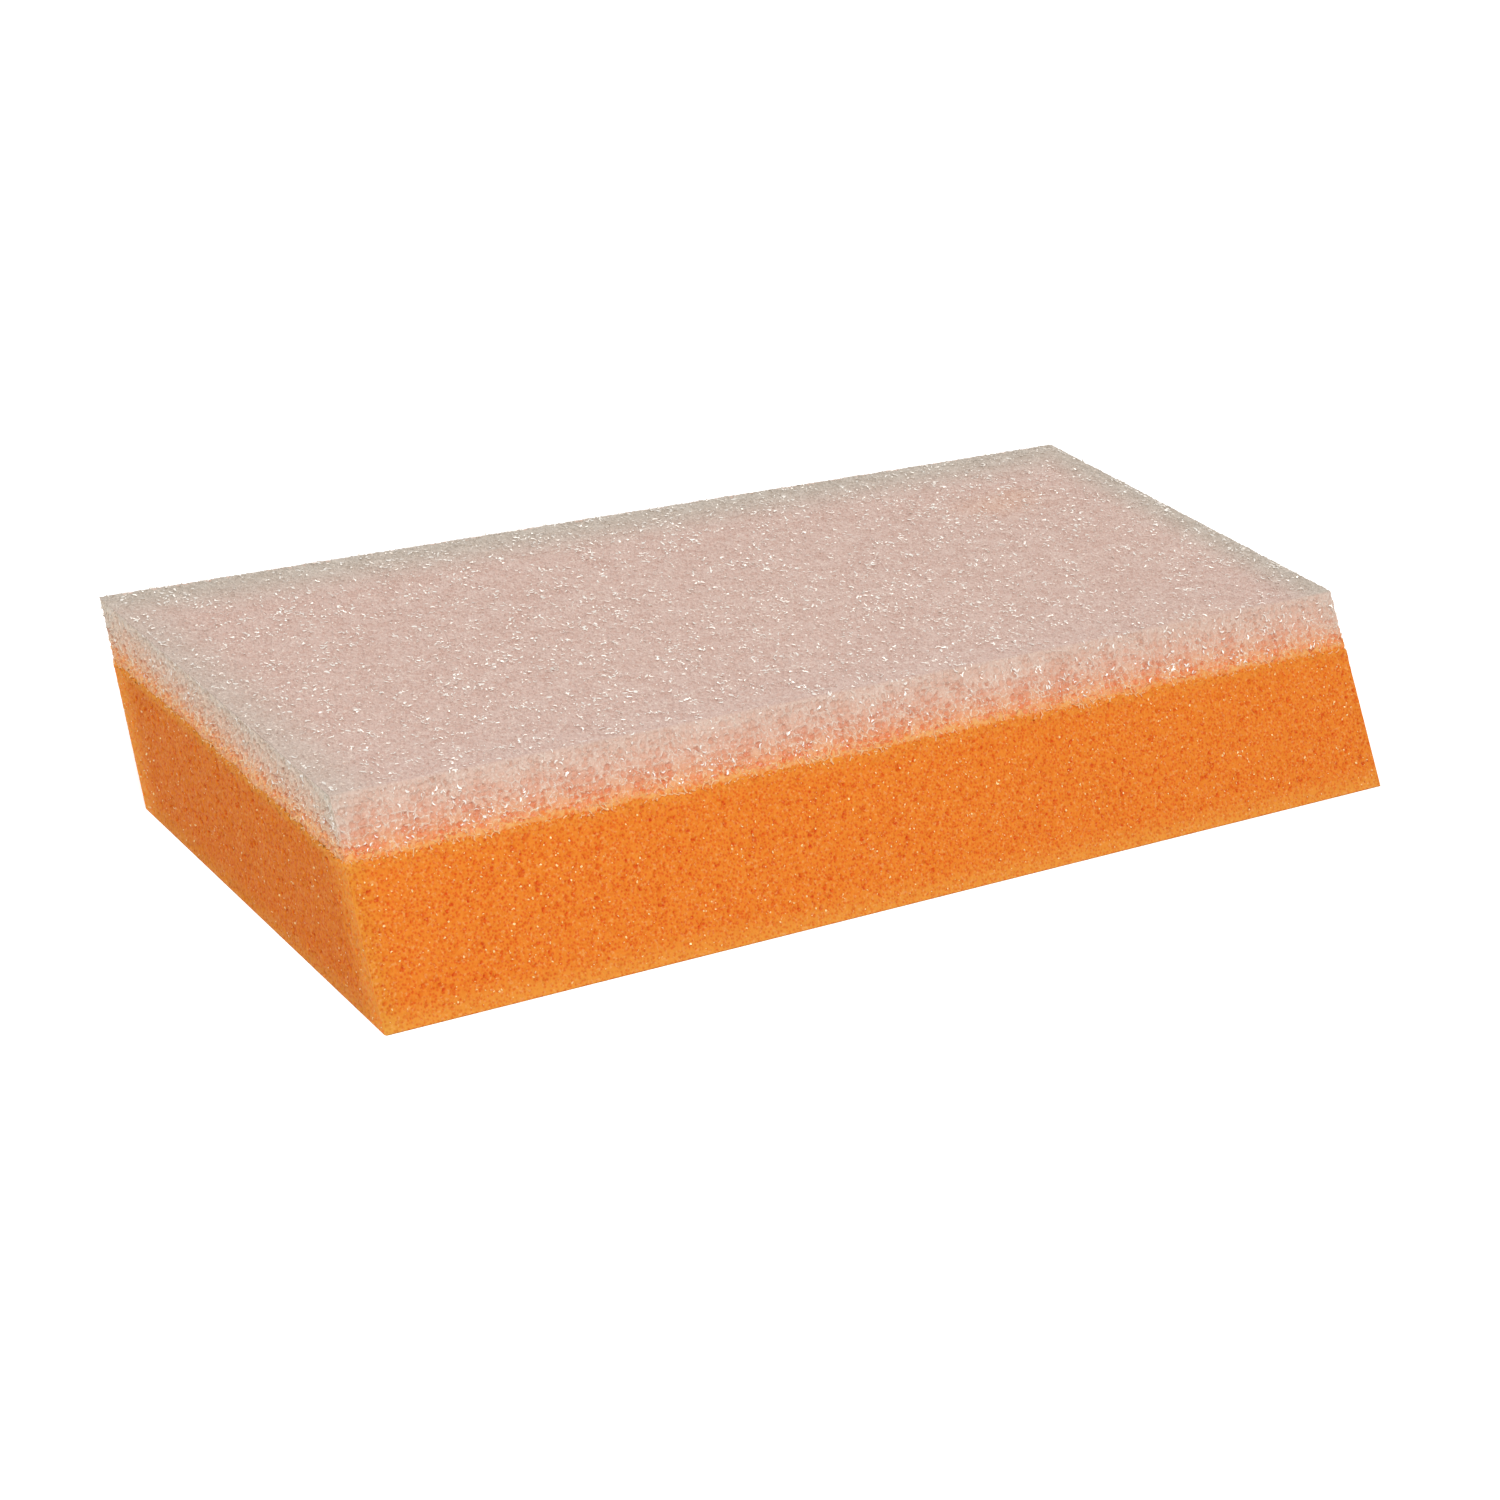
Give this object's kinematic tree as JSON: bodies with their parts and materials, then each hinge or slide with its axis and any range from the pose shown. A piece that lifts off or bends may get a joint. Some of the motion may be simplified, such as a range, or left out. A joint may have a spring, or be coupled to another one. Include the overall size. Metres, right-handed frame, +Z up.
{
  "type": "sanding block",
  "caption": "Hand sanding block of laminated foam: a fine-celled foam body with a coarse open-celled scouring layer on top, long sides slanted for corners.",
  "frame": {"origin": "middle of the block's footprint on the table, taken over everything that stands above it, at the height of the rest face", "axes": "+X along the block's length, +Y from the front side to the back side, +Z up through the scouring layer"},
  "size_m": [0.175, 0.0862, 0.026],
  "materials": {
    "body_foam": "cut fine-celled soft polyurethane foam, matt, orange",
    "bond": "thin seam of melted foam, pale peach",
    "scouring_foam": "coarse reticulated foam, off-white, translucent, with shiny cell edges"
  },
  "bodies": {
    "root": {"foam_body": "body_foam", "bond_layer": "bond", "scouring_layer": "scouring_foam"}
  },
  "joints": []
}
